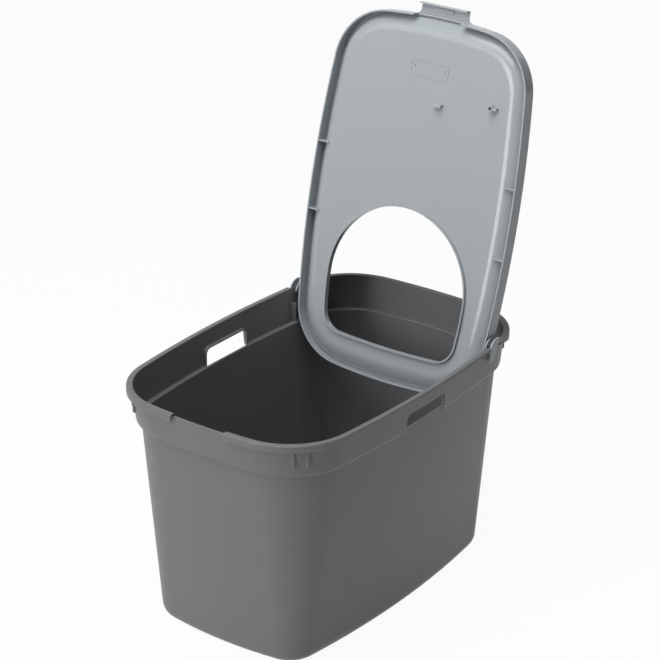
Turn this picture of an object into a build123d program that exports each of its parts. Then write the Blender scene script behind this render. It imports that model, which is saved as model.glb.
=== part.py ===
from build123d import *
import math
import os

# Top-entry litter box: a deep tub and a lid with an entry hole that tips up on two side pivots.
# Millimetres. X across the tub, Y along it (the latch end is at -Y), Z up from the floor.
# The origin is the middle of the flat underside.

# Tub, overall
RIM_LENGTH = 573.6
RIM_WIDTH = 390.0
RIM_HEIGHT = 369.0
RIM_CORNER = 106.0
SIDE_BOW = 21.3
END_BOW = 18.0
BASE_LENGTH = 492.8
BASE_WIDTH = 294.6
BASE_CORNER = 46.0
BASE_FILLET = 21.0
WALL = 2.0
FLOOR = 3.0

# Tub, upper band and rim; an inset is measured inwards from the rim's outer edge
SHOULDER_HEIGHT = 314.0
SHOULDER_INSET = 18.8
SHOULDER_ROUND = 6.0
LEDGE_HEIGHT = 317.0
BAND_INSET_BOTTOM = 12.0
BAND_INSET_TOP = 6.7
FLANGE = 3.0
FLANGE_ROUND = 2.2
LEDGE_EASE = 1.2
MOUTH_EASE = 0.6
LIP_DEPTH = 10.0
LIP_WALL = 2.6
LIP_TAPER_START = 222.0
LIP_TAPER_END = 190.0

# Tub, details
SLOT_LENGTH = 94.0
SLOT_TOP = 342.5
SLOT_CORNER = 9.0
SLOT_FRAME_DEPTH = 6.0
SLOT_FRAME_WALL = 2.0
NOTCH_WIDTH = 93.0
NOTCH_FLOOR = 365.0
CORNER_RIB_WIDTH = 6.5
CORNER_RIB_INSET = 6.8
CORNER_RIB_BOTTOM = 332.0
CORNER_RIB_ANGLES = (39.0, 51.0)
CORNER_RIB_ROUND = 2.6
CORNER_RIB_SLOPE = 2.0
REST_RIB_Y = 157.0
REST_RIB_REACH = 8.6
REST_RIB_THICKNESS = 2.2
REST_RIB_GAP = 0.4

# Lid, in its closed place
LID_LENGTH = 550.4
LID_WIDTH = 357.6
LID_CORNER = 89.0
LID_SIDE_BOW = 20.0
LID_END_BOW = 17.4
LID_FLARE = 1.0
SKIRT_EDGE = 347.5
SKIRT_DEPTH = 22.5
SKIRT_WALL = 2.2
CREST_ROUND = 3.6
CREST_BORDER = 3.0
TRAY_SLOPE = 0.364
PANEL_UNDERSIDE = 350.5
PANEL_WALL = 2.4
TRAY_ROUND = 26.0
GUTTER_ROUND = 3.0

# Entry hole: a round arch towards the latch end, straighter sides and a flat end behind
HOLE_RADIUS = 122.0
HOLE_CENTRE_Y = 131.0
HOLE_REAR_Y = 224.0
HOLE_REAR_HALF_WIDTH = 114.0
HOLE_REAR_BOW = 5.0
HOLE_SIDE_BOW = 2.0
HOLE_CORNER = 32.0
COLLAR_WALL = 2.2
COLLAR_EDGE = 346.0
COLLAR_TOP = 354.6

# Latch tab in the middle of the lid's front
TAB_WIDTH = 83.0
TAB_REACH = 17.0
TAB_WALL = 2.4
TAB_LIP_DEPTH = 9.5
TAB_LIP_ROUND = 1.1
TAB_ROOT_FILLET = 6.0
TAB_OVERLAP = 3.0
TAB_RELIEF_HEIGHT = 15.0
GRIP_WIDTH = 31.0
GRIP_HEIGHT = 5.0
GRIP_RAISE = 1.5

# Lid underside details
GUSSET_YS = (-57.0, 48.0)
GUSSET_WALL = 2.0
GUSSET_LENGTH = 18.0
GUSSET_LIFT = 0.8
PLATE_LENGTH = 66.0
PLATE_DEPTH = 24.0
PLATE_Y = -198.0
PLATE_CORNER = 4.0
PLATE_LINE = 1.0
PLATE_RAISE = 0.5
PEG_X = 26.8
PEG_Y = -201.3
PEG_RADIUS = 1.2
PEG_LENGTH = 1.6
HOOK_DEPTH = 8.0
HOOK_EASE = 2.4
SHELF_WIDTH = 13.5
SHELF_HEIGHT = 4.2
RING_RADIUS = 4.4
RING_BORE = 2.5
RING_TONGUE = 6.0
RING_TONGUE_HEIGHT = 3.6
SHELF_HOOK = (25.5, -150.5)
RING_HOOK = (116.5, -164.5)

# Hinge: two spool-shaped pivots that clip into the lid and turn in open notches of the tub
PIVOT_Y = 178.8
PIVOT_Z = 360.4
OPEN_ANGLE = 104.2
HUB_RADIUS = 4.2
HUB_CLEARANCE = 0.3
STEM_RADIUS = 2.6
STEM_LENGTH = 3.6
STEM_CLEARANCE = 0.02
BOSS_RADIUS = 7.5
BOSS_FACE = 173.0
CHEEK_RADIUS = 16.0
CHEEK_WALL = 1.8
CHEEK_LIFT = 2.0
FLAP_RADIUS = 17.8
FLAP_RISE = 2.0
FLAP_FALL = 0.17
FLAP_TAIL = 14.0
FLAP_TAIL_LOW = (13.0, -15.8)
FLAP_TAIL_BULGE = 5.5
FLAP_BOTTOM = 2.0
FLAP_INNER_X = 182.4
FLAP_WALL = 2.5
FLAP_ROUND = 0.9
HINGE_GAP_FRONT = 159.2
HINGE_GAP_REAR = 182.0

# How far a cutting block runs past the wall it cuts, how far a rib is sunk into its wall,
# and how near to a height an edge counts as lying at it
OVERRUN = 5.0
SINK = 0.6
LEVEL = 0.01

LID_TOP = SKIRT_EDGE + SKIRT_DEPTH


def arc_centres(half_l, half_w, corner, side_bow, end_bow):
    """Centres of the side, end and corner arcs of an outline's quarter."""
    side_r = (half_l**2 + side_bow**2) / (2 * side_bow)
    end_r = (half_w**2 + end_bow**2) / (2 * end_bow)
    side_c = Vector(half_w - side_r, 0)
    end_c = Vector(0, half_l - end_r)
    # The corner circle lies inside both flat arcs, so its centre is a known way from theirs.
    span = end_c - side_c
    from_side = side_r - corner
    from_end = end_r - corner
    along = (span.length**2 + from_side**2 - from_end**2) / (2 * span.length)
    across = math.sqrt(from_side**2 - along**2)
    unit = span.normalized()
    corner_c = side_c + unit * along + Vector(-unit.Y, unit.X) * across
    return side_c, end_c, corner_c


def outline(length, width, corner, z, side_bow=SIDE_BOW, end_bow=END_BOW):
    """Rounded rectangle with bowed sides: four flat arcs joined by tangent corner arcs."""
    half_l = length / 2
    half_w = width / 2
    side_c, end_c, corner_c = arc_centres(half_l, half_w, corner, side_bow, end_bow)
    side_end = corner_c + (corner_c - side_c).normalized() * corner
    end_end = corner_c + (corner_c - end_c).normalized() * corner
    corner_mid = corner_c + (side_end + end_end - corner_c * 2).normalized() * corner

    def at(point, sign_x, sign_y):
        return (point.X * sign_x, point.Y * sign_y, z)

    def bend(start, middle, end):
        return Edge.make_three_point_arc(start, middle, end)

    right = Vector(half_w, 0)
    rear = Vector(0, half_l)
    edges = [
        bend(at(side_end, 1, -1), at(right, 1, 1), at(side_end, 1, 1)),
        bend(at(side_end, 1, 1), at(corner_mid, 1, 1), at(end_end, 1, 1)),
        bend(at(end_end, 1, 1), at(rear, 1, 1), at(end_end, -1, 1)),
        bend(at(end_end, -1, 1), at(corner_mid, -1, 1), at(side_end, -1, 1)),
        bend(at(side_end, -1, 1), at(right, -1, 1), at(side_end, -1, -1)),
        bend(at(side_end, -1, -1), at(corner_mid, -1, -1), at(end_end, -1, -1)),
        bend(at(end_end, -1, -1), at(rear, 1, -1), at(end_end, 1, -1)),
        bend(at(end_end, 1, -1), at(corner_mid, 1, -1), at(side_end, 1, -1)),
    ]
    return Face(Wire(edges))


def side_x(half_width, length, y, bow=SIDE_BOW):
    """Half-width of a bowed long side at a place along it."""
    radius = ((length / 2) ** 2 + bow**2) / (2 * bow)
    return half_width - radius + math.sqrt(radius**2 - y**2)


def rim_outline(inset, z):
    """Outline of the tub at an inset from the rim's outer edge."""
    return outline(RIM_LENGTH - 2 * inset, RIM_WIDTH - 2 * inset, RIM_CORNER - inset, z)


def lid_outline(inset, z):
    """Outline of the lid at an inset from its free edge."""
    size = (LID_LENGTH - 2 * inset, LID_WIDTH - 2 * inset, LID_CORNER - inset)
    return outline(*size, z, LID_SIDE_BOW, LID_END_BOW)


def taper(*outlines):
    """Solid with straight sides from each outline to the next one up."""
    return loft(list(outlines), ruled=True)


def edges_at(shape, z):
    """Edges that lie at one height."""
    return shape.edges().filter_by_position(Axis.Z, z - LEVEL, z + LEVEL)


def block(x0, x1, y0, y1, z0, z1):
    """Box between two corners."""
    size = (x1 - x0, y1 - y0, z1 - z0)
    centre = ((x0 + x1) / 2, (y0 + y1) / 2, (z0 + z1) / 2)
    return Pos(*centre) * Box(*size)


def lying_cylinder(x0, x1, radius):
    """Cylinder on the hinge's axis between two places across the tub."""
    return Pos((x0 + x1) / 2, PIVOT_Y, PIVOT_Z) * Rot(0, 90, 0) * Cylinder(radius, x1 - x0)


def both_sides(shape):
    """A shape of the right side together with its mirror image on the left."""
    return shape + mirror(shape, about=Plane.YZ)


def all_corners(shape):
    """A shape of one corner, repeated in all four."""
    pair = both_sides(shape)
    return pair + mirror(pair, about=Plane.XZ)


def band_inset(z):
    """Inset of the sloping band's outer face at a height."""
    part = (RIM_HEIGHT - z) / (RIM_HEIGHT - SHOULDER_HEIGHT)
    return BAND_INSET_TOP + (BAND_INSET_BOTTOM - BAND_INSET_TOP) * part


def band_side_x(inside, y, z):
    """Place of the band's right wall, a way inside its outer face."""
    inset = band_inset(z) + inside
    return side_x(RIM_WIDTH / 2 - inset, RIM_LENGTH - 2 * inset, y)


def body_outline(inset, z):
    """Outline of the tapering body below the shoulder."""
    part = z / SHOULDER_HEIGHT
    length = BASE_LENGTH + (RIM_LENGTH - 2 * SHOULDER_INSET - BASE_LENGTH) * part
    width = BASE_WIDTH + (RIM_WIDTH - 2 * SHOULDER_INSET - BASE_WIDTH) * part
    corner = BASE_CORNER + (RIM_CORNER - SHOULDER_INSET - BASE_CORNER) * part
    return outline(length - 2 * inset, width - 2 * inset, corner - inset, z)


def tub_shell():
    """Body, shoulder, band and flange as one thin wall; the band's ribs and frames are left standing."""
    body = taper(body_outline(0, 0), body_outline(0, SHOULDER_HEIGHT))
    body = fillet(edges_at(body, 0), BASE_FILLET)
    hollow = taper(
        body_outline(WALL, FLOOR),
        body_outline(WALL, LEDGE_HEIGHT - LEDGE_EASE),
        body_outline(WALL - LEDGE_EASE, LEDGE_HEIGHT),
    )
    hollow = fillet(edges_at(hollow, FLOOR), BASE_FILLET - WALL)

    band = taper(rim_outline(BAND_INSET_BOTTOM, SHOULDER_HEIGHT), rim_outline(BAND_INSET_TOP, RIM_HEIGHT))
    band = fillet(edges_at(band, SHOULDER_HEIGHT), SHOULDER_ROUND)
    band_hollow = taper(
        rim_outline(band_inset(LEDGE_HEIGHT) + WALL, LEDGE_HEIGHT),
        rim_outline(BAND_INSET_TOP + WALL, RIM_HEIGHT - MOUTH_EASE),
        rim_outline(BAND_INSET_TOP + WALL - MOUTH_EASE, RIM_HEIGHT),
    )

    lip_edge = RIM_HEIGHT - LIP_DEPTH
    rim = extrude(rim_outline(0, lip_edge), LIP_DEPTH, dir=(0, 0, 1))
    rim = fillet(edges_at(rim, RIM_HEIGHT), FLANGE_ROUND)
    rim -= extrude(rim_outline(LIP_WALL, lip_edge), LIP_DEPTH - FLANGE, dir=(0, 0, 1))
    rim -= lip_relief()

    shell = body + band + rim + corner_ribs()
    return shell - hollow - (band_hollow - rest_ribs() - slot_frames())


def lip_relief():
    """Room that ends the turned-down lip along the two long sides, with sloping ends."""
    low = RIM_HEIGHT - LIP_DEPTH - SINK
    high = RIM_HEIGHT - FLANGE
    slope = Polyline(
        (-LIP_TAPER_START, low),
        (LIP_TAPER_START, low),
        (LIP_TAPER_END, high),
        (-LIP_TAPER_END, high),
        close=True,
    )
    return extrude(Plane.YZ * make_face(slope), RIM_WIDTH, both=True)


def corner_ribs():
    """Short upright ribs under the rim, two at each corner, from inside the band's wall outwards."""
    centre = arc_centres(RIM_LENGTH / 2, RIM_WIDTH / 2, RIM_CORNER, SIDE_BOW, END_BOW)[2]
    inner = RIM_CORNER - BAND_INSET_BOTTOM - WALL
    outer = RIM_CORNER - CORNER_RIB_INSET
    half = CORNER_RIB_WIDTH / 2
    top = RIM_HEIGHT - FLANGE + SINK
    ribs = Part()
    for angle in CORNER_RIB_ANGLES:
        rib = block(inner, outer, -half, half, CORNER_RIB_BOTTOM, top)
        rib = fillet(rib.edges().filter_by(Axis.Z).sort_by(Axis.X)[-2:], CORNER_RIB_ROUND)
        rib = chamfer(rib.edges().group_by(Axis.Z)[0].sort_by(Axis.X)[-1], CORNER_RIB_SLOPE)
        ribs += Pos(centre.X, centre.Y) * Rot(0, 0, angle) * rib
    return all_corners(ribs)


def rest_ribs():
    """Low ribs inside the band, close under the lid's edge when it is shut."""
    top = SKIRT_EDGE - REST_RIB_GAP
    inner_x = band_side_x(WALL, REST_RIB_Y, top) - REST_RIB_REACH
    half = REST_RIB_THICKNESS / 2
    rib = block(inner_x, RIM_WIDTH / 2, REST_RIB_Y - half, REST_RIB_Y + half, LEDGE_HEIGHT - SINK, top)
    return both_sides(rib)


def slot_block(x0, x1, grow, bottom):
    """Slot-shaped block across the band with rounded upper corners, grown by a margin."""
    half = SLOT_LENGTH / 2 + grow
    shape = block(x0, x1, -half, half, bottom, SLOT_TOP + grow)
    return fillet(shape.edges().filter_by(Axis.X).group_by(Axis.Z)[-1], SLOT_CORNER + grow)


def slot_frames():
    """Frames round the hand holes on the inside of the band, standing on the ledge."""
    inner_x = band_side_x(WALL, 0, SLOT_TOP) - SLOT_FRAME_DEPTH
    frame = slot_block(inner_x, RIM_WIDTH / 2, SLOT_FRAME_WALL, LEDGE_HEIGHT - SINK)
    return both_sides(frame)


def handle_slots():
    """Hand holes: through the band down to the ledge, and through the shoulder outside the wall."""
    half = SLOT_LENGTH / 2
    wall_x = RIM_WIDTH / 2 - SHOULDER_INSET
    outside = RIM_WIDTH / 2
    opening = slot_block(wall_x - OVERRUN, outside, 0, LEDGE_HEIGHT)
    below = block(wall_x + SINK, outside, -half, half, SHOULDER_HEIGHT - OVERRUN, LEDGE_HEIGHT + SINK)
    return both_sides(opening + below)


def latch_notch():
    """Gap in the front flange and lip, with the wall a little lower, where the latch tab lies."""
    half = NOTCH_WIDTH / 2
    front = -RIM_LENGTH / 2
    below_lip = RIM_HEIGHT - LIP_DEPTH - OVERRUN
    above = RIM_HEIGHT + OVERRUN
    wall_y = front + BAND_INSET_TOP
    flange_gap = block(-half, half, front - OVERRUN, wall_y, below_lip, above)
    wall_gap = block(-half, half, front - OVERRUN, wall_y + WALL + OVERRUN, NOTCH_FLOOR, above)
    return flange_gap + wall_gap


def hinge_gaps():
    """Gap in each side flange, and the open notch in the wall that the pivot's hub turns in."""
    outer_x = band_side_x(0, PIVOT_Y, RIM_HEIGHT)
    inner_x = band_side_x(WALL, PIVOT_Y, PIVOT_Z) - OVERRUN
    below_lip = RIM_HEIGHT - LIP_DEPTH - OVERRUN
    above = RIM_HEIGHT + OVERRUN
    flange_gap = block(outer_x, RIM_WIDTH / 2, HINGE_GAP_FRONT, HINGE_GAP_REAR, below_lip, above)
    notch_r = HUB_RADIUS + HUB_CLEARANCE
    seat = lying_cylinder(inner_x, outer_x, notch_r)
    throat = block(inner_x, outer_x, PIVOT_Y - notch_r, PIVOT_Y + notch_r, PIVOT_Z, above)
    return both_sides(flange_gap + seat + throat)


def make_tub():
    return tub_shell() - handle_slots() - latch_notch() - hinge_gaps()


def tray_inset(z):
    """Inset of the tray's sloping underside at a height."""
    return CREST_BORDER + TRAY_SLOPE * (LID_TOP - z)


def lid_shell():
    """Skirt, narrow crest, softly rounded slope and sunk panel, all thin."""
    outer = taper(lid_outline(0, SKIRT_EDGE), lid_outline(-LID_FLARE, LID_TOP))
    outer = fillet(edges_at(outer, LID_TOP), CREST_ROUND)

    panel_top = PANEL_UNDERSIDE + PANEL_WALL
    shift = PANEL_WALL * math.sqrt(1 + TRAY_SLOPE**2)
    tray = taper(
        lid_outline(tray_inset(panel_top) + shift, panel_top),
        lid_outline(tray_inset(LID_TOP) + shift, LID_TOP),
    )
    tray = fillet(edges_at(tray, panel_top), TRAY_ROUND - PANEL_WALL)

    roof = LID_TOP - PANEL_WALL
    under = taper(lid_outline(SKIRT_WALL, SKIRT_EDGE), lid_outline(SKIRT_WALL - LID_FLARE, roof))
    under = fillet(edges_at(under, roof), GUTTER_ROUND)
    belly = taper(
        lid_outline(tray_inset(PANEL_UNDERSIDE), PANEL_UNDERSIDE),
        lid_outline(tray_inset(LID_TOP), LID_TOP),
    )
    belly = fillet(edges_at(belly, PANEL_UNDERSIDE), TRAY_ROUND)
    return outer - tray - (under - belly - gusset_slices())


def hole_outline(grow):
    """Entry hole seen from above, grown outwards by a margin."""
    radius = HOLE_RADIUS + grow
    rear_y = HOLE_REAR_Y + grow
    rear_x = HOLE_REAR_HALF_WIDTH + grow
    corner_y = rear_y - HOLE_REAR_BOW
    mid_y = (HOLE_CENTRE_Y + corner_y) / 2
    mid_x = (radius + rear_x) / 2 + HOLE_SIDE_BOW
    lines = [
        ThreePointArc((radius, HOLE_CENTRE_Y), (0, HOLE_CENTRE_Y - radius), (-radius, HOLE_CENTRE_Y)),
        ThreePointArc((-radius, HOLE_CENTRE_Y), (-mid_x, mid_y), (-rear_x, corner_y)),
        ThreePointArc((-rear_x, corner_y), (0, rear_y), (rear_x, corner_y)),
        ThreePointArc((rear_x, corner_y), (mid_x, mid_y), (radius, HOLE_CENTRE_Y)),
    ]
    face = make_face(Curve() + lines)
    return fillet(face.vertices().group_by(Axis.Y)[-1], HOLE_CORNER + grow)


def collar():
    """Short collar round the entry hole, standing a little above and below the panel."""
    return extrude(Pos(0, 0, COLLAR_EDGE) * hole_outline(COLLAR_WALL), COLLAR_TOP - COLLAR_EDGE)


def entry_hole():
    return extrude(Pos(0, 0, COLLAR_EDGE - OVERRUN) * hole_outline(0), SKIRT_DEPTH)


def gusset_slices():
    """Slices of the gutter that stay solid: thin ribs from the skirt to the tray's wall."""
    slices = Part()
    for y in GUSSET_YS:
        skirt_x = side_x(LID_WIDTH / 2, LID_LENGTH, y, LID_SIDE_BOW) - SKIRT_WALL
        slices += block(
            skirt_x - GUSSET_LENGTH,
            skirt_x + SKIRT_WALL,
            y - GUSSET_WALL / 2,
            y + GUSSET_WALL / 2,
            SKIRT_EDGE + GUSSET_LIFT,
            LID_TOP,
        )
    return both_sides(slices)


def latch_tab():
    """Flat tab with a turned-down lip, wide roots and a low grip bar under it, next to the lip."""
    front = -LID_LENGTH / 2
    end = front - TAB_REACH
    half = TAB_WIDTH / 2
    plate = block(-half, half, end, front + TAB_OVERLAP, LID_TOP - TAB_WALL, LID_TOP)
    lip = block(-half, half, end, end + TAB_WALL, LID_TOP - TAB_LIP_DEPTH, LID_TOP)
    lip = fillet(lip.edges().filter_by(Axis.X).group_by(Axis.Y)[0], TAB_LIP_ROUND)
    low = LID_TOP - TAB_WALL
    root_x = half + TAB_ROOT_FILLET
    root_y = front - TAB_ROOT_FILLET
    root = block(half - SINK, root_x, root_y, front + TAB_OVERLAP, low, LID_TOP)
    root -= Pos(root_x, root_y, LID_TOP) * Cylinder(TAB_ROOT_FILLET, SKIRT_DEPTH)
    grip_y = end + 2 * TAB_WALL
    half_grip = GRIP_WIDTH / 2
    grip = block(-half_grip, half_grip, grip_y, grip_y + GRIP_HEIGHT, low - GRIP_RAISE, low + SINK)
    return plate + lip + both_sides(root) + grip


def tab_relief():
    """Shallower stretch of the front skirt between the roots of the latch tab."""
    half = TAB_WIDTH / 2
    front = -LID_LENGTH / 2
    below = SKIRT_EDGE - OVERRUN
    return block(-half, half, front - OVERRUN, front + OVERRUN, below, SKIRT_EDGE + TAB_RELIEF_HEIGHT)


def name_plate():
    """Low blank frame on the panel's underside with a peg at each end."""
    frame = RectangleRounded(PLATE_LENGTH, PLATE_DEPTH, PLATE_CORNER)
    inner_length = PLATE_LENGTH - 2 * PLATE_LINE
    inner_depth = PLATE_DEPTH - 2 * PLATE_LINE
    frame -= RectangleRounded(inner_length, inner_depth, PLATE_CORNER - PLATE_LINE)
    raised = extrude(Pos(0, PLATE_Y, PANEL_UNDERSIDE - PLATE_RAISE) * frame, PLATE_RAISE + SINK)
    peg = Pos(PEG_X, PEG_Y, PANEL_UNDERSIDE) * Cylinder(PEG_RADIUS, 2 * PEG_LENGTH)
    return raised + both_sides(peg)


def peg_bar(x0, x1, y, height):
    """Short bar under the panel, with the lower edge that looks to the latch end cut off at a slope."""
    low = PANEL_UNDERSIDE - HOOK_DEPTH
    bar = block(x0, x1, y - height / 2, y + height / 2, low, PANEL_UNDERSIDE + SINK)
    return chamfer(bar.edges().filter_by(Axis.X).group_by(Axis.Z)[0].sort_by(Axis.Y)[0], HOOK_EASE)


def scoop_hooks():
    """Two small hooks under the panel: a bar, and a ring with a tongue beside it."""
    x, y = SHELF_HOOK
    shelf = peg_bar(x - SHELF_WIDTH / 2, x + SHELF_WIDTH / 2, y, SHELF_HEIGHT)
    x, y = RING_HOOK
    ring = Circle(RING_RADIUS) - Circle(RING_BORE)
    ring = extrude(Pos(x, y, PANEL_UNDERSIDE - HOOK_DEPTH) * ring, HOOK_DEPTH + SINK)
    reach = x + RING_RADIUS - SINK
    tongue = peg_bar(reach, reach + RING_TONGUE, y, RING_TONGUE_HEIGHT)
    return shelf + ring + tongue


def pivot_bosses():
    """Bosses on the skirt that carry the pivots."""
    back = side_x(LID_WIDTH / 2, LID_LENGTH, PIVOT_Y, LID_SIDE_BOW) - SKIRT_WALL / 2
    return both_sides(lying_cylinder(back, BOSS_FACE, BOSS_RADIUS))


def pivot_sockets():
    """Blind sockets in the bosses that the pivots' stems clip into."""
    depth = STEM_LENGTH + HUB_CLEARANCE
    socket = lying_cylinder(BOSS_FACE - depth, BOSS_FACE + OVERRUN, STEM_RADIUS + STEM_CLEARANCE)
    return both_sides(socket)


def make_lid():
    lid = lid_shell() + latch_tab() + collar() + name_plate() + scoop_hooks() + pivot_bosses()
    return lid - entry_hole() - tab_relief() - pivot_sockets()


def cheek_profile():
    """Inner cheek: a quarter disc towards the latch end and the underside, round a small disc."""
    quarter = make_face(
        [
            Line((0, CHEEK_LIFT), (-CHEEK_RADIUS, CHEEK_LIFT)),
            RadiusArc((-CHEEK_RADIUS, CHEEK_LIFT), (0, -CHEEK_RADIUS), -CHEEK_RADIUS),
            Line((0, -CHEEK_RADIUS), (0, CHEEK_LIFT)),
        ]
    )
    return quarter + Circle(BOSS_RADIUS)


def flap_profile():
    """Outer flap: one straight edge along the lid, a round edge under it, and a tail behind."""
    top = (-FLAP_RADIUS, FLAP_RISE)
    tail_high = (FLAP_TAIL, FLAP_RISE - FLAP_FALL * (FLAP_RADIUS + FLAP_TAIL))
    tail_tip = (FLAP_TAIL + FLAP_TAIL_BULGE, (tail_high[1] + FLAP_TAIL_LOW[1]) / 2)
    bottom = (FLAP_BOTTOM, -FLAP_RADIUS)
    return make_face(
        [
            Line(tail_high, top),
            RadiusArc(top, bottom, -FLAP_RADIUS),
            Line(bottom, FLAP_TAIL_LOW),
            ThreePointArc(FLAP_TAIL_LOW, tail_tip, tail_high),
        ]
    )


def make_pivot():
    """Right-hand pivot: stem in the lid, inner cheek, hub in the tub's notch, outer flap."""
    across = Plane(origin=(0, PIVOT_Y, PIVOT_Z), x_dir=(0, 1, 0), z_dir=(1, 0, 0))
    stem = extrude(across.offset(BOSS_FACE - STEM_LENGTH) * Circle(STEM_RADIUS), STEM_LENGTH)
    cheek = extrude(across.offset(BOSS_FACE) * cheek_profile(), CHEEK_WALL)
    hub_length = FLAP_INNER_X - BOSS_FACE
    hub = extrude(across.offset(BOSS_FACE) * Circle(HUB_RADIUS), hub_length)
    flap = extrude(across.offset(FLAP_INNER_X) * flap_profile(), FLAP_WALL)
    flap = fillet(flap.faces().sort_by(Axis.X)[-1].edges(), FLAP_ROUND)
    return stem + cheek + hub + flap


def opened(shape):
    """Swing a shape of the lid from shut to wide open."""
    hinge = Axis((0, PIVOT_Y, PIVOT_Z), (1, 0, 0))
    return shape.rotate(hinge, -OPEN_ANGLE)


def main():
    os.makedirs("parts", exist_ok=True)
    right_pivot = make_pivot()
    nodes = {
        "tub": make_tub(),
        "lid": opened(make_lid()),
        "hinge_pivot_right": opened(right_pivot),
        "hinge_pivot_left": opened(mirror(right_pivot, about=Plane.YZ)),
    }
    for name, shape in nodes.items():
        export_step(shape, f"parts/{name}.step")
        box = shape.bounding_box()
        print(name, "solids", len(shape.solids()), "volume", round(shape.volume), "box", box.min, box.max)


main()
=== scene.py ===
# %% [markdown]
# A top-entry cat litter box: a deep, dark grey tub and a lighter grey lid with an arched entry hole. The lid is
# tipped up on two side pivots, so its ribbed underside shows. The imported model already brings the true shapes.
# This lesson gives them their plastics, a pale studio and the camera of the photograph. Everything is in metres,
# with the tub's underside on the floor at zero.

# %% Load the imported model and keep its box
import math
import bpy
import numpy as np
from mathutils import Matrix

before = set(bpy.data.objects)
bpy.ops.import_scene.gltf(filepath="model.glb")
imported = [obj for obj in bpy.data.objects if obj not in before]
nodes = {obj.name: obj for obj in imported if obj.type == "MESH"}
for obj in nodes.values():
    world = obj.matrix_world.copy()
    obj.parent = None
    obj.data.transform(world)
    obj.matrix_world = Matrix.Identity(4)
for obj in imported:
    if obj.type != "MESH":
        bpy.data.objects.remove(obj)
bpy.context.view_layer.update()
scene = bpy.context.scene

# %% [markdown]
# The camera stands in front of the latch end, off to the right and above the tub. Its place could be guessed and
# nudged by eye. Here it was worked out instead, by lining up the rim, the body's outline and the lid's edge with
# the photograph, which gave a long lens nearly four metres away.

# %% Set the camera
CAMERA_PLACE = (2.0145, -2.6688, 1.9323)
CAMERA_AZIMUTH = math.radians(36.855)
CAMERA_ELEVATION = math.radians(24.532)
CAMERA_LENS = 139.31
CAMERA_SENSOR = 36.0
CAMERA_SIGHT = 50.0

camera_data = bpy.data.cameras.new("photo_camera")
camera_data.lens = CAMERA_LENS
camera_data.sensor_width = CAMERA_SENSOR
camera_data.clip_end = CAMERA_SIGHT
camera = bpy.data.objects.new("photo_camera", camera_data)
camera.location = CAMERA_PLACE
camera.rotation_euler = (math.pi / 2 - CAMERA_ELEVATION, 0.0, CAMERA_AZIMUTH)
scene.collection.objects.link(camera)
scene.camera = camera
print("camera", tuple(camera.location), "lens", camera_data.lens)

# %% [markdown]
# A product picture has no horizon. One sheet that runs flat under the object and then curves up behind it does that
# in a real studio. Two planes would leave a crease, so the sheet is one grid: the distance along it is one
# parameter, the width the other.

# %% Make the studio sheet
SHEET_HALF_WIDTH = 6.0
SHEET_FLAT = 3.0
SHEET_BEND = 2.0
SHEET_RISE = 4.0


def studio_sheet(steps_along=64, steps_across=2):
    """Sheet as a function of (s, t): s runs along the floor, round a quarter circle and up; t runs across."""
    quarter = SHEET_BEND * math.pi / 2
    s = np.linspace(-SHEET_FLAT * 2, SHEET_FLAT + quarter + SHEET_RISE, steps_along)
    t = np.linspace(-SHEET_HALF_WIDTH, SHEET_HALF_WIDTH, steps_across)
    turn = np.clip((s - SHEET_FLAT) / SHEET_BEND, 0.0, math.pi / 2)
    along = np.minimum(s, SHEET_FLAT) + SHEET_BEND * np.sin(turn)
    up = SHEET_BEND * (1 - np.cos(turn)) + np.maximum(s - SHEET_FLAT - quarter, 0.0)
    x, y, z = np.broadcast_arrays(t[None, :], along[:, None], up[:, None])
    points = np.stack([x, y, z], -1).reshape(-1, 3)
    corner = np.arange((steps_along - 1) * steps_across).reshape(-1, steps_across)[:, :-1].ravel()
    quads = np.stack([corner, corner + 1, corner + 1 + steps_across, corner + steps_across], 1)
    mesh = bpy.data.meshes.new("studio_sheet")
    mesh.from_pydata(points.tolist(), [], quads.tolist())
    mesh.polygons.foreach_set("use_smooth", np.ones(len(mesh.polygons), dtype=bool))
    return mesh


sheet = bpy.data.objects.new("studio_sheet", studio_sheet())
sheet.rotation_euler = (0.0, 0.0, CAMERA_AZIMUTH)
scene.collection.objects.link(sheet)
print("studio sheet", len(sheet.data.polygons), "faces")

# %% [markdown]
# Paper and plastics are all built from shader nodes, so they need no pictures and stay sharp at any distance. Node
# code soon gets long. Small helpers keep it readable: one puts a node down, one feeds a socket with a value or with
# another node's output, and two do arithmetic, on numbers and on vectors.

# %% Helpers for shader nodes
def put(tree, kind, **settings):
    """New node of a kind with some of its settings."""
    node = tree.nodes.new(kind)
    for key, value in settings.items():
        setattr(node, key, value)
    return node


def feed(tree, socket, source):
    """Link an output to a socket, or write a plain value on it."""
    if isinstance(source, bpy.types.NodeSocket):
        tree.links.new(source, socket)
    else:
        socket.default_value = source


def sums(tree, operation, *values, clamp=False):
    """Output of one arithmetic step on numbers or outputs."""
    node = put(tree, "ShaderNodeMath", operation=operation, use_clamp=clamp)
    for socket, value in zip(node.inputs, values):
        feed(tree, socket, value)
    return node.outputs[0]


def arrows(tree, operation, *values, result="Vector"):
    """Vector or Value output of one step of vector arithmetic."""
    node = put(tree, "ShaderNodeVectorMath", operation=operation)
    for socket, value in zip(node.inputs, values):
        feed(tree, socket, value)
    return node.outputs[result]


print("node helpers ready")

# %% [markdown]
# A material made with nodes starts with a Principled shader that is already joined to the output. This helper hands
# over the material, its tree of nodes and that shader, for the paper as for the plastics.

# %% Start a material
def start_material(name):
    """New material with its node tree and its Principled shader."""
    made = bpy.data.materials.new(name)
    made.use_nodes = True
    return made, made.node_tree, made.node_tree.nodes["Principled BSDF"]


print("material helper ready")

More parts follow.
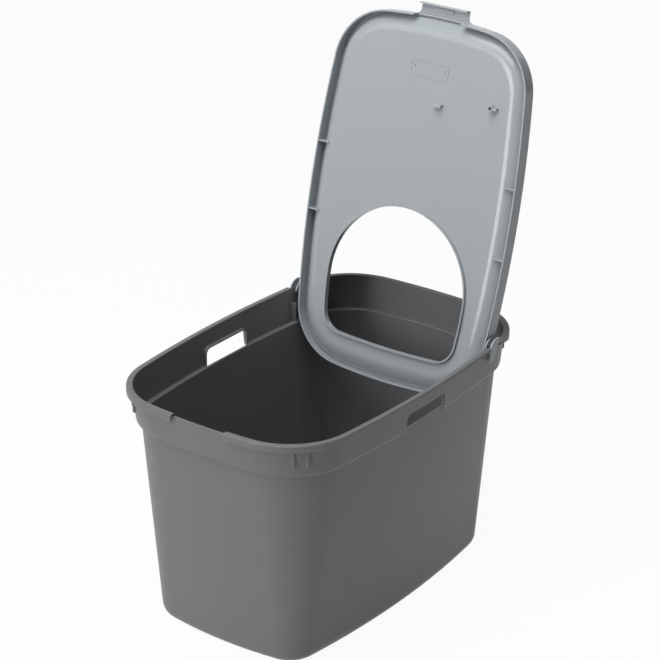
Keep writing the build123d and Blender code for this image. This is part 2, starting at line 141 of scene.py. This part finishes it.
# %% [markdown]
# The photograph's ground is plain white. More light would bleach the object too, so the paper does it alone: a ray
# from the camera sees it mostly as white, and only a faint shadow is kept. A ray mirrored in the plastic sees it a
# little less white, so that the sides darken towards the shadow they stand in. Light that bounces off the paper
# still meets an ordinary pale surface.

# %% Paint the paper
PAPER_COLOUR = (0.80, 0.80, 0.80, 1.0)
PAPER_ROUGHNESS = 0.9
PAPER_SHINE = 0.0
PAPER_SEEN_WHITE = 0.95
PAPER_MIRRORED_WHITE = 0.80

paper, tree, shader = start_material("studio_paper")
shader.inputs["Base Color"].default_value = PAPER_COLOUR
shader.inputs["Roughness"].default_value = PAPER_ROUGHNESS
shader.inputs["Specular IOR Level"].default_value = PAPER_SHINE
glow = put(tree, "ShaderNodeEmission")
rays = put(tree, "ShaderNodeLightPath").outputs
mirrored = sums(tree, "MAXIMUM", rays["Is Glossy Ray"], rays["Is Transmission Ray"])
mirrored_white = sums(tree, "MULTIPLY", mirrored, PAPER_MIRRORED_WHITE)
seen_white = sums(tree, "MULTIPLY", rays["Is Camera Ray"], PAPER_SEEN_WHITE)
blend = put(tree, "ShaderNodeMixShader")
blended = (sums(tree, "MAXIMUM", mirrored_white, seen_white), shader.outputs[0], glow.outputs[0])
for socket, source in zip(blend.inputs, blended):
    feed(tree, socket, source)
feed(tree, tree.nodes["Material Output"].inputs["Surface"], blend.outputs[0])
sheet.data.materials.append(paper)
print("paper", PAPER_COLOUR[0], "white to the camera", PAPER_SEEN_WHITE, "mirrored", PAPER_MIRRORED_WHITE)

# %% [markdown]
# Studio light comes from wide fabric boxes, so shadows are soft. Point lamps would cut hard edges. Each box here is
# an area lamp turned towards the object. The one in front is tall and narrow, because the lid's rounded border
# mirrors it as a bright line. How strong each box is was found by rendering it alone and weighing the pictures.

# %% Set the lamps
MIDDLE = (0.0, 0.0, 0.35)


def light_box(name, place, width, height, watts):
    """Rectangular area lamp at a place, turned so that its face looks at the middle of the object."""
    lamp = bpy.data.lights.new(name, "AREA")
    lamp.shape = "RECTANGLE"
    lamp.size = width
    lamp.size_y = height
    lamp.energy = watts
    holder = bpy.data.objects.new(name, lamp)
    holder.location = place
    way = np.subtract(MIDDLE, place)
    flat = math.hypot(way[0], way[1])
    holder.rotation_euler = (math.atan2(flat, -way[2]), 0.0, math.atan2(way[1], way[0]) - math.pi / 2)
    scene.collection.objects.link(holder)
    return holder


boxes = [
    light_box("left_box", place=(-1.9, -2.6, 2.2), width=2.0, height=2.0, watts=17.5),
    light_box("overhead_box", place=(-0.1, -0.7, 3.2), width=2.4, height=2.4, watts=79.0),
    light_box("front_box", place=(-0.6, -3.2, 1.4), width=1.1, height=2.2, watts=45.0),
]
print("lamps", [(box.name, box.data.energy) for box in boxes])

# %% [markdown]
# Between the boxes a studio is dim but not black: walls and ceiling send some light back. A plain grey world stands
# for them. The Standard view keeps every colour near the value that is written for it.

# %% Set the dim room
ROOM_LIGHT = 0.04
ROOM_COLOUR = (1.0, 1.0, 1.0, 1.0)

world = bpy.data.worlds.new("studio_world")
scene.world = world
world.use_nodes = True
room = world.node_tree.nodes["Background"]
room.inputs["Color"].default_value = ROOM_COLOUR
room.inputs["Strength"].default_value = ROOM_LIGHT
scene.view_settings.view_transform = "Standard"
print("room light", room.inputs["Strength"].default_value)

# %% [markdown]
# Grain, streaks and worn edges belong to both plastics. Each could be wired into every material again. A shader group
# is built once instead, with named sockets, and every material then places it with its own values.

# %% Start a shader group
NUMBER = "NodeSocketFloat"
VECTOR = "NodeSocketVector"


def effect(name, inputs, outputs):
    """Empty shader group with named sockets; returns the group, its input and its output node."""
    made = bpy.data.node_groups.new(name, "ShaderNodeTree")
    for label, kind in inputs:
        made.interface.new_socket(name=label, in_out="INPUT", socket_type=kind)
    for label, kind in outputs:
        made.interface.new_socket(name=label, in_out="OUTPUT", socket_type=kind)
    return made, put(made, "NodeGroupInput"), put(made, "NodeGroupOutput")


def noise(tree, place, scale, **values):
    """Value of a noise read at a place."""
    texture = put(tree, "ShaderNodeTexNoise")
    feed(tree, texture.inputs["Vector"], place)
    feed(tree, texture.inputs["Scale"], scale)
    for label, value in values.items():
        feed(tree, texture.inputs[label], value)
    return texture.outputs["Fac"]


print("group helpers ready")

# %% [markdown]
# A moulding tool is spark-eroded, which leaves the plastic with tiny round craters that make it satin. Modelling them
# is out of the question, they are a fraction of a millimetre. A cell pattern gives the craters as a height, a finer
# noise breaks them up, and a slow noise lets the gloss wander over a hand's breadth, as it does on a real moulding.

# %% Group: satin mould grain
FINER_TIMES = 2.6
FINER_SHARE = 0.4
DRIFT_SCALE = 9.0
DRIFT_DETAIL = 3.0
NOISE_MEAN = 0.5

grain_in = [("Place", VECTOR), ("Fineness", NUMBER)]
mould_grain, into, out = effect("mould_grain", grain_in, [("Height", NUMBER), ("Drift", NUMBER)])
place = into.outputs["Place"]
craters = put(mould_grain, "ShaderNodeTexVoronoi", feature="SMOOTH_F1")
feed(mould_grain, craters.inputs["Vector"], place)
feed(mould_grain, craters.inputs["Scale"], into.outputs["Fineness"])
finer = noise(mould_grain, place, sums(mould_grain, "MULTIPLY", into.outputs["Fineness"], FINER_TIMES))
depth = sums(mould_grain, "MULTIPLY_ADD", finer, FINER_SHARE, craters.outputs["Distance"])
slow = noise(mould_grain, place, DRIFT_SCALE, Detail=DRIFT_DETAIL)
feed(mould_grain, out.inputs["Height"], depth)
feed(mould_grain, out.inputs["Drift"], sums(mould_grain, "SUBTRACT", slow, NOISE_MEAN))
print("group", mould_grain.name, len(mould_grain.nodes), "nodes")

# %% [markdown]
# Melted plastic enters a tool at one gate and runs outwards, and the pigment keeps faint streaks of that run. The
# group turns each point into its direction from the gate, so that a noise read along those directions stretches into
# rays. A small share of the point itself makes the rays waver.

# %% Group: streaks of the melt
WAVER = (3.0, 3.0, 3.0)
STREAK_SCALE = 1.0
STREAK_DETAIL = 4.0

flow_in = [("Place", VECTOR), ("Gate", VECTOR), ("Rays", NUMBER)]
melt_flow, into, out = effect("melt_flow", flow_in, [("Streak", NUMBER)])
run = arrows(melt_flow, "SUBTRACT", into.outputs["Place"], into.outputs["Gate"])
heading = arrows(melt_flow, "NORMALIZE", run)
ray_count = put(melt_flow, "ShaderNodeCombineXYZ")
for socket in ray_count.inputs:
    feed(melt_flow, socket, into.outputs["Rays"])
fan = arrows(melt_flow, "MULTIPLY", heading, ray_count.outputs["Vector"])
wavering = arrows(melt_flow, "MULTIPLY_ADD", run, WAVER, fan)
feed(melt_flow, out.inputs["Streak"], noise(melt_flow, wavering, STREAK_SCALE, Detail=STREAK_DETAIL))
print("group", melt_flow.name, len(melt_flow.nodes), "nodes")

# %% [markdown]
# Edges that hands and the scoop touch get rubbed: a little paler and a little smoother. Where an edge is can be
# measured from inside the wall: near an edge, short rays into the plastic soon meet another face. The Ambient
# Occlusion node does exactly that when it looks inwards. A noise makes the rubbing uneven.

# %% Group: rubbed edges
EDGE_RAYS = 6
PATCH_SCALE = 60.0
RUB_GAIN = 1.6

rubbed_edges, into, out = effect("rubbed_edges", [("Place", VECTOR), ("Reach", NUMBER)], [("Mask", NUMBER)])
near = put(rubbed_edges, "ShaderNodeAmbientOcclusion", samples=EDGE_RAYS, inside=True, only_local=True)
feed(rubbed_edges, near.inputs["Distance"], into.outputs["Reach"])
patchy = noise(rubbed_edges, into.outputs["Place"], PATCH_SCALE)
closeness = sums(rubbed_edges, "SUBTRACT", 1.0, near.outputs["AO"])
uneven = sums(rubbed_edges, "MULTIPLY", closeness, patchy)
feed(rubbed_edges, out.inputs["Mask"], sums(rubbed_edges, "MULTIPLY", uneven, RUB_GAIN, clamp=True))
print("group", rubbed_edges.name, len(rubbed_edges.nodes), "nodes")

# %% [markdown]
# Every plastic here is made the same way: the streaks mix two close tones, the rubbed edges go towards a paler one,
# the grain dents the surface, and its slow drift moves the roughness. Three helpers take up what repeats, and each
# plastic then brings only its own values.

# %% Helpers for plastics
DENT_STRENGTH = 0.6


def place_group(tree, group, place, **values):
    """Outputs of an effect group that is put into a material with its place and its own values."""
    node = put(tree, "ShaderNodeGroup", node_tree=group)
    feed(tree, node.inputs["Place"], place)
    for label, value in values.items():
        feed(tree, node.inputs[label], value)
    return node.outputs


def tone(tree, share, first, second):
    """Colour between two colours by a share."""
    mix = put(tree, "ShaderNodeMix", data_type="RGBA")
    feed(tree, mix.inputs["Factor"], share)
    feed(tree, mix.inputs["A"], first)
    feed(tree, mix.inputs["B"], second)
    return mix.outputs["Result"]


def dent(tree, shader, height, depth):
    """Bump from a height, with its depth in metres."""
    bump = put(tree, "ShaderNodeBump")
    feed(tree, bump.inputs["Height"], height)
    feed(tree, bump.inputs["Distance"], depth)
    feed(tree, bump.inputs["Strength"], DENT_STRENGTH)
    feed(tree, shader.inputs["Normal"], bump.outputs["Normal"])


print("plastic helpers ready")

# %% [markdown]
# The tub is dark grey polypropylene, a soft satin outside. Its inside is moulded over a polished core, so that litter
# slides off, and that makes the inner wall smoother. Inner faces are those whose normal points back towards the
# middle, which the object's own coordinates and normals can tell.

# %% The tub's dark plastic: tones
TUB_DARK = (0.146, 0.148, 0.154, 1.0)
TUB_LIGHT = (0.160, 0.162, 0.168, 1.0)
TUB_RUBBED = (0.215, 0.218, 0.224, 1.0)
TUB_GATE = (0.0, 0.0, -0.05)
TUB_RAYS = 7.0
TUB_EDGE = 0.0016

tub_plastic, tree, shader = start_material("tub_plastic")
coords = put(tree, "ShaderNodeTexCoord").outputs
place = coords["Object"]
flow = place_group(tree, melt_flow, place, Gate=TUB_GATE, Rays=TUB_RAYS)
edges = place_group(tree, rubbed_edges, place, Reach=TUB_EDGE)
streaked = tone(tree, flow["Streak"], TUB_DARK, TUB_LIGHT)
feed(tree, shader.inputs["Base Color"], tone(tree, edges["Mask"], streaked, TUB_RUBBED))
print("tub tones", len(tree.nodes), "nodes")

# %% [markdown]
# The finish follows the tool: grainy outside, smoother inside and on rubbed edges. One mask tells inside from outside
# and takes grain and roughness down together.

# %% The tub's dark plastic: finish
TUB_ROUGHNESS = 0.42
TUB_FINENESS = 1100.0
TUB_GRAIN_DEPTH = 0.00006
TUB_DRIFT = 0.12
TUB_RUBBED_SMOOTHER = -0.08
INNER_SMOOTHER = -0.08
INNER_LESS_GRAIN = -0.7
INNER_SHARPNESS = -4.0
LEVEL = (1.0, 1.0, 0.0)

grain = place_group(tree, mould_grain, place, Fineness=TUB_FINENESS)
outward = arrows(tree, "NORMALIZE", arrows(tree, "MULTIPLY", place, LEVEL))
facing = arrows(tree, "DOT_PRODUCT", outward, coords["Normal"], result="Value")
inner = sums(tree, "MULTIPLY", facing, INNER_SHARPNESS, clamp=True)
smoother = sums(tree, "MULTIPLY_ADD", inner, INNER_SMOOTHER, TUB_ROUGHNESS)
satin = sums(tree, "MULTIPLY_ADD", grain["Drift"], TUB_DRIFT, smoother)
feed(tree, shader.inputs["Roughness"], sums(tree, "MULTIPLY_ADD", edges["Mask"], TUB_RUBBED_SMOOTHER, satin))
grainy = sums(tree, "MULTIPLY_ADD", inner, INNER_LESS_GRAIN, 1.0)
dent(tree, shader, sums(tree, "MULTIPLY", grain["Height"], grainy), TUB_GRAIN_DEPTH)
print("tub plastic", len(tree.nodes), "nodes")

# %% [markdown]
# The lid's grey is a silver one: the pigment holds fine flakes, and a few of them catch the light. Small cells with a
# random value each stand for the flakes, and the few that catch the light get a paler colour: painted glints, the
# same under any lamp. The lid's finish is glossier than the tub's, and the photograph shows that as a crisp bright
# line on the rounded border.

# %% The lid's silver grey plastic
LID_DEEP = (0.372, 0.404, 0.425, 1.0)
LID_PALE = (0.386, 0.419, 0.442, 1.0)
LID_RUBBED = (0.47, 0.50, 0.52, 1.0)
# Paler colour painted on the flakes that catch the light: painted glints.
LID_FLAKE_GLINT = (0.45, 0.485, 0.51, 1.0)
LID_GATE = (0.0, 0.30, 0.62)
LID_EDGE = 0.0012
LID_RUBBED_SHARE = 0.6
LID_FINENESS = 1500.0
LID_GRAIN_DEPTH = 0.00001
LID_DRIFT = 0.05
FLAKE_SCALE = 2600.0
FLAKE_DULL = 0.86
FLAKE_GLINT_SHARE = 0.55


def silver_plastic(name, rays, roughness):
    """Flaked plastic with painted glints, for the lid and its pivots; returns the material, its tree, its shader and
    its coordinates.
    """
    made, tree, shader = start_material(name)
    place = put(tree, "ShaderNodeTexCoord").outputs["Object"]
    grain = place_group(tree, mould_grain, place, Fineness=LID_FINENESS)
    flow = place_group(tree, melt_flow, place, Gate=LID_GATE, Rays=rays)
    edges = place_group(tree, rubbed_edges, place, Reach=LID_EDGE)
    flakes = put(tree, "ShaderNodeTexVoronoi", feature="F1")
    feed(tree, flakes.inputs["Vector"], place)
    feed(tree, flakes.inputs["Scale"], FLAKE_SCALE)
    lucky = put(tree, "ShaderNodeSeparateColor")
    feed(tree, lucky.inputs["Color"], flakes.outputs["Color"])
    # Cells above the threshold are painted paler: painted glints where flakes catch the light.
    bright = sums(tree, "MULTIPLY", sums(tree, "GREATER_THAN", lucky.outputs["Red"], FLAKE_DULL), FLAKE_GLINT_SHARE)
    streaked = tone(tree, flow["Streak"], LID_DEEP, LID_PALE)
    glint_painted = tone(tree, bright, streaked, LID_FLAKE_GLINT)
    rubbed = sums(tree, "MULTIPLY", edges["Mask"], LID_RUBBED_SHARE)
    feed(tree, shader.inputs["Base Color"], tone(tree, rubbed, glint_painted, LID_RUBBED))
    feed(tree, shader.inputs["Roughness"], sums(tree, "MULTIPLY_ADD", grain["Drift"], LID_DRIFT, roughness))
    dent(tree, shader, grain["Height"], LID_GRAIN_DEPTH)
    return made, tree, shader, place


lid_plastic = silver_plastic("lid_plastic", rays=9.0, roughness=0.14)[0]
print("lid plastic", len(lid_plastic.node_tree.nodes), "nodes")

# %% [markdown]
# The two pivots are small mouldings of the same silver plastic. They turn in the tub's notches, and that polishes the
# round hub. The hub is every point near the hinge's own line, which runs across the tub, so its distance from that
# line is measured with the part of the offset along the line struck out.

# %% The pivots' worn plastic
HINGE_PLACE = (0.0, 0.1788, 0.3604)
ACROSS_HINGE = (0.0, 1.0, 1.0)
HUB_RADIUS = 0.0045
HUB_SMOOTHER = -0.14

pivot_plastic, tree, shader, place = silver_plastic("pivot_plastic", rays=4.0, roughness=0.33)
offset = arrows(tree, "SUBTRACT", place, HINGE_PLACE)
from_line = arrows(tree, "LENGTH", arrows(tree, "MULTIPLY", offset, ACROSS_HINGE), result="Value")
polished = sums(tree, "LESS_THAN", from_line, HUB_RADIUS)
satin = shader.inputs["Roughness"].links[0].from_socket
feed(tree, shader.inputs["Roughness"], sums(tree, "MULTIPLY_ADD", polished, HUB_SMOOTHER, satin))
print("pivot plastic", len(tree.nodes), "nodes")

# %% [markdown]
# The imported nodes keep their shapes. Only their material slots change, and the two pivots share one plastic.

# %% Dress the nodes
dress = {
    "tub": tub_plastic,
    "lid": lid_plastic,
    "hinge_pivot_left": pivot_plastic,
    "hinge_pivot_right": pivot_plastic,
}
for name, plastic in dress.items():
    nodes[name].data.materials.clear()
    nodes[name].data.materials.append(plastic)
    print(name, "wears", plastic.name)
